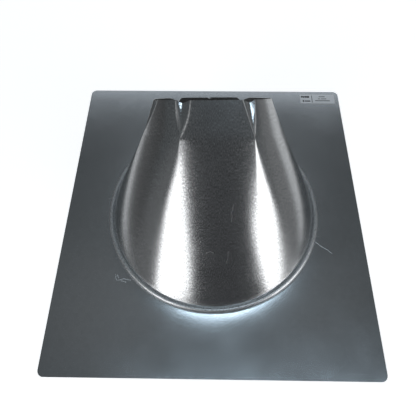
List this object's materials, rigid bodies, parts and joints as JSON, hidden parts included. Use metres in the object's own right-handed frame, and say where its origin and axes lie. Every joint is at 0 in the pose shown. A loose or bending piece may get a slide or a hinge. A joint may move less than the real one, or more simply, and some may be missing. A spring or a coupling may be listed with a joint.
{
  "type": "roof flashing",
  "caption": "Steep-roof chimney flashing: a flat galvanised base plate with a leaning cone, joined by a rolled lock seam and crimped at the rim to centre the pipe.",
  "frame": {"origin": "middle of the plate's underside, which lies on the roof deck", "axes": "+X across the roof, +Y up its slope, +Z square off the roof; the cone leans towards +Y"},
  "size_m": [0.61, 0.66, 0.2461],
  "materials": {
    "galvanised_sheet": "bright galvanised, fine grain, lightly scratched",
    "rivet": "dull zinc plate",
    "label": null
  },
  "bodies": {
    "root": {"base_plate": "galvanised_sheet", "flashing_cone": "galvanised_sheet", "seam_rivet_1": "rivet", "seam_rivet_2": "rivet", "seam_rivet_3": "rivet", "label": "label"}
  },
  "joints": []
}
